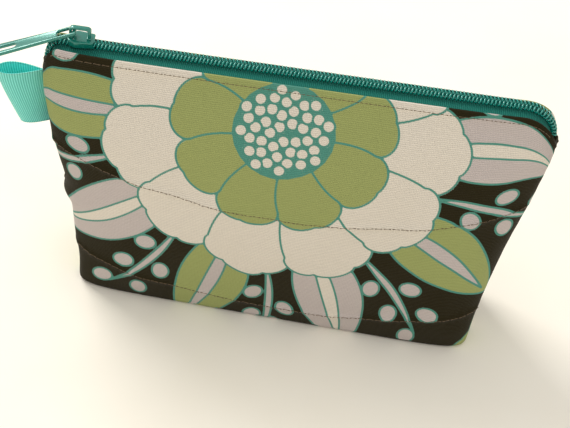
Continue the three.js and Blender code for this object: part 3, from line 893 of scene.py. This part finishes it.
def rounded(corners, steps=6):
    """Closed outline through (x, y, radius) corners, each rounded by its radius."""
    outline = []
    for k, (x, y, radius) in enumerate(corners):
        here = Vector((x, y))
        before = (Vector(corners[k - 1][:2]) - here).normalized() * radius
        after = (Vector(corners[(k + 1) % len(corners)][:2]) - here).normalized() * radius
        for t in np.linspace(0, 1, steps):
            outline.append(here + before * (1 - t) ** 2 + after * t**2)
    return [tuple(point) for point in outline]


def plate(name, outlines, low, high, bevel, material, placing=Matrix.Identity(4)):
    """A flat piece between two heights with softened edges. The first outline is its rim, the others
    are holes. `placing` turns it into the part's coordinates."""
    curve = bpy.data.curves.new(name, "CURVE")
    curve.dimensions = "2D"
    curve.fill_mode = "BOTH"
    for outline in outlines:
        spline = curve.splines.new("POLY")
        spline.points.add(len(outline) - 1)
        for point, (x, y) in zip(spline.points, outline):
            point.co = (x, y, 0, 1)
        spline.use_cyclic_u = True
    curve.extrude = (high - low) / 2 - bevel
    curve.bevel_depth = bevel
    curve.bevel_resolution = 3
    curve.offset = -bevel
    shape = bpy.data.objects.new(name, curve)
    bpy.context.scene.collection.objects.link(shape)
    bpy.context.view_layer.update()
    mesh = bpy.data.meshes.new_from_object(shape.evaluated_get(bpy.context.evaluated_depsgraph_get()))
    bpy.data.objects.remove(shape)
    mesh.name = name
    mesh.materials.clear()
    mesh.materials.append(material)
    mesh.transform(Matrix.Translation((0, 0, (low + high) / 2)))
    mesh.transform(Matrix.Scale(MM, 4) @ Matrix.Translation((CENTRE_X, 0, 0)) @ placing)
    tidy = bmesh.new()
    tidy.from_mesh(mesh)
    bmesh.ops.remove_doubles(tidy, verts=tidy.verts, dist=1e-7)
    bmesh.ops.recalc_face_normals(tidy, faces=tidy.faces)
    tidy.to_mesh(mesh)
    tidy.free()
    mesh.shade_smooth()
    mesh.set_sharp_from_angle(angle=math.radians(50))
    piece = bpy.data.objects.new(name, mesh)
    bpy.context.scene.collection.objects.link(piece)
    return piece


def merge(name, pieces):
    """One object from several that share a material."""
    body = bmesh.new()
    for piece in pieces:
        body.from_mesh(piece.data)
    mesh = pieces[0].data
    body.to_mesh(mesh)
    body.free()
    for piece in pieces[1:]:
        bpy.data.objects.remove(piece)
    pieces[0].name = name
    mesh.name = name
    return pieces[0]


def make_slider():
    """The slider's two plates, joined by a wedge and edged with rails, and the arch over it."""
    low, high = box_mm("slider_body")
    low[0] -= CENTRE_X
    high[0] -= CENTRE_X
    back, nose, half = high[0], low[0], high[1]
    outline = rounded([
        (back, -half + 0.9, 1.0), (back, half - 0.9, 1.0), (nose + 3.4, half, 1.6),
        (nose, half - 1.9, 1.5), (nose + 0.5, 0, 0.8), (nose, -half + 1.9, 1.5), (nose + 3.4, -half, 1.6),
    ])
    parts = [
        plate("top", [outline], high[2] - SLIDER_PLATE, high[2], 0.28, ENAMEL),
        plate("under", [outline], low[2], low[2] + SLIDER_PLATE, 0.28, ENAMEL),
        plate("wedge", [rounded([(nose + 0.7, -0.3, 0.1), (nose + 2.6, -0.3, 0.1), (nose + 2.6, 0.3, 0.1),
                                 (nose + 0.7, 0.3, 0.1)])], low[2] + 0.4, high[2] - 0.4, 0.08, ENAMEL),
    ]
    for side in (-1, 1):
        rail = [
            (back - 0.2, side * (half - 1.05), 0.3), (back - 0.2, side * (half - 1.75), 0.3),
            (nose + 3.4, side * (half - 0.85), 0.5), (nose + 1.1, side * (half - 1.9), 0.3),
            (nose + 0.9, side * (half - 1.3), 0.3), (nose + 3.4, side * (half - 0.02), 0.8),
        ]
        parts.append(plate("rail", [rounded(rail)], high[2] - 2.7, high[2] - 0.15, 0.22, ENAMEL))
        parts.append(plate("lip", [rounded(rail)], low[2] + 0.15, low[2] + 1.1, 0.22, ENAMEL))
    body = merge("slider_casting", parts)
    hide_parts("slider_body")
    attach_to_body(body, "slider")

    low, high = box_mm("slider_crown")
    x0, x1 = low[0] - CENTRE_X, high[0] - CENTRE_X
    z0, z1 = low[2] - 0.3, high[2]
    wall = CROWN_THICK
    arch = rounded([
        (x0, z0, 0.1), (x0, z1, 1.9), (x1, z1, 1.9), (x1, z0, 0.1), (x1 - wall - 0.3, z0, 0.1),
        (x1 - wall, z1 - wall, 1.3), (x0 + wall, z1 - wall, 1.0), (x0 + wall, z0, 0.1),
    ], 9)
    upright = Matrix.Rotation(math.pi / 2, 4, "X")
    crown = plate("arch", [arch], -CROWN_HALF, CROWN_HALF, 0.36, ENAMEL, upright)
    feet = [
        plate("foot", [rounded([(x, -1.7, 0.6), (x + 1.9, -1.7, 0.6), (x + 1.9, 1.7, 0.6), (x, 1.7, 0.6)])],
              z0 - 0.05, z0 + 0.75, 0.25, ENAMEL)
        for x in (x0 - 0.2, x1 - 1.7)
    ]
    crown = merge("slider_arch", [crown, *feet])
    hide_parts("slider_crown")
    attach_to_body(crown, "slider")


def slot_outline(x0, x1, half):
    """A slot with round ends."""
    return arc_points((x1 - half, 0), half, -90, 90) + arc_points((x0 + half, 0), half, 90, 270)


def make_pull():
    """The flat tab that hangs from the arch by an eye, with a long slot near its tip."""
    low, high = box_mm("slider_crown")
    thick, long, root_half, tip_half = PULL_THICK, PULL_LENGTH, PULL_ROOT_HALF, PULL_TIP_HALF
    inset = CROWN_THICK + PULL_GAP + thick / 2
    pivot = (low[0] - CENTRE_X + inset, 0, high[2] - inset)
    rim = [(-thick / 2, -root_half + 0.6), (-thick / 2 + 0.5, -root_half), (9, -root_half + 0.1)]
    rim += arc_points((long - tip_half, 0), tip_half, -90, 90, 24)
    rim += [(9, root_half - 0.1), (-thick / 2 + 0.5, root_half), (-thick / 2, root_half - 0.6)]
    eye = rounded([(0.7, -2, 0.5), (7.5, -2, 1.4), (7.5, 2, 1.4), (0.7, 2, 0.5)])
    slot = slot_outline(long - 15, long - 3.5, 1.5)
    placing = Matrix.Translation(pivot) @ Matrix.Rotation(math.pi - PULL_DROOP, 4, "Y")
    placing = placing @ Matrix.Rotation(-PULL_TURN, 4, "Z")
    pull = plate("pull_tab_enamelled", [rim, eye, slot], -thick / 2, thick / 2, 0.42, ENAMEL, placing)
    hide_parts("pull_tab")
    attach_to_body(pull, "pull")


# ---- ribbon loop ----
def make_ribbon():
    """A folded length of grosgrain, pointed at the seam and round at its tip, shorter below than above."""
    low, high = box_mm("ribbon_loop")
    top, tall = high[2], high[2] - low[2]
    lean = math.radians(9)
    turn = np.linspace(0, TAU, 320)
    rows = []
    for part in np.linspace(0, 1, 26):
        long = 19.0 - 6.0 * part**1.2
        half = 5.6 - 1.7 * part
        along = long * (1 - np.cos(turn)) / 2 + 0.4
        across = half * np.sin(turn) * np.sin(turn / 2) ** 1.3
        seam_x = -half_width((top - tall * part) / HEIGHT)
        x = seam_x - along * math.cos(lean)
        y = -along * math.sin(lean) - across
        rows.append(np.stack([x, y, top - tall * part + 0 * x], 1))
    grid = np.stack(rows)
    length = np.concatenate([[0], np.cumsum(np.linalg.norm(np.diff(grid[0], axis=0), axis=1))])
    swell = 0.09 * np.abs(np.sin(math.pi * length / RIB)) ** 0.7
    grid += normals_of(grid) * (swell - 0.05)[None, :, None]
    points, faces = slab(grid, 0.42)
    piece = mesh_object("ribbon_tab", points, faces, RIBBON)
    count = grid.shape[0] * grid.shape[1]
    flat = np.zeros((*grid.shape[:2], 3))
    flat[..., 0] = length
    flat[..., 1] = top - grid[..., 2]
    set_vectors(piece, "fabric", np.concatenate([flat.reshape(-1, 3)] * 2))
    # 1 on the inside face, which the ribbon material paints brighter as a painted highlight
    set_floats(piece, "inside", np.concatenate([np.zeros(count), np.ones(count)]))
    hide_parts("ribbon_loop")
    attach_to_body(piece, "loop")


# ---- floor, light and camera ----
def make_studio():
    scene = bpy.context.scene
    scene.view_settings.view_transform = "Standard"
    world = bpy.data.worlds.new("studio")
    scene.world = world
    world.use_nodes = True
    background = world.node_tree.nodes["Background"]
    background.inputs["Color"].default_value = (1.0, 0.98, 0.95, 1)
    background.inputs["Strength"].default_value = 0.75

    look = Look("floor", Roughness=0.9, Specular_IOR_Level=0.1)
    mottle = look.noise(look.place(), 0.02)
    look.colour(look.mix(mottle, linear(246, 240, 226), linear(252, 247, 236)))
    mesh = bpy.data.meshes.new("floor")
    reach = 3.0
    signs = ((-1, -1), (1, -1), (1, 1), (-1, 1))
    corners = [(reach * x, reach * y, -0.1 * MM) for x, y in signs]
    mesh.from_pydata(corners, [], [(0, 1, 2, 3)])
    mesh.materials.append(look.material)
    floor = bpy.data.objects.new("floor", mesh)
    scene.collection.objects.link(floor)

    def softbox(name, place, size, watts, colour):
        lamp = bpy.data.lights.new(name, "AREA")
        lamp.size = size
        lamp.energy = watts
        lamp.color = colour
        box = bpy.data.objects.new(name, lamp)
        box.location = place
        box.rotation_euler = (Vector((0, 0, 0.05)) - Vector(place)).to_track_quat("-Z", "Y").to_euler()
        scene.collection.objects.link(box)

    softbox("window", (-0.75, 0.75, 0.95), 0.7, 14, (1.0, 0.98, 0.95))
    softbox("room", (0.5, -1.1, 1.1), 1.4, 4, (1.0, 0.96, 0.9))


def make_camera():
    """A long lens from the front, well above, with the horizon tilted."""
    azimuth, elevation, roll = (math.radians(angle) for angle in (1.63, 41.25, 7.13))
    distance = 0.9307
    target = Vector(((CENTRE_X - 0.3) * MM, 0, 40.96 * MM))
    right = Vector((math.cos(azimuth), math.sin(azimuth), 0))
    back = Vector((math.sin(azimuth) * math.cos(elevation), -math.cos(azimuth) * math.cos(elevation),
                   math.sin(elevation)))
    up = back.cross(right)
    tilted = math.cos(roll) * right + math.sin(roll) * up
    above = back.cross(tilted)
    lens = bpy.data.cameras.new("camera")
    lens.sensor_width = 36
    lens.lens = 138.9
    lens.clip_end = 20
    camera = bpy.data.objects.new("camera", lens)
    camera.matrix_world = Matrix.Translation(target + back * distance) @ Matrix(
        [[tilted[i], above[i], back[i], 0] for i in range(3)] + [[0, 0, 0, 1]])
    bpy.context.scene.collection.objects.link(camera)
    bpy.context.scene.camera = camera


make_camera()
make_stitches(make_walls())
for (word, side), end in zip(SIDES, ("zip_end_left", "zip_end_right")):
    make_tape(word, side)
    make_coil(word, side, end)
make_slider()
make_pull()
make_ribbon()
for word in ("left", "right", "bottom"):
    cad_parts[f"seam_thread_{word}"].material_slots[0].material = PALE
make_studio()

bpy.context.view_layer.update()
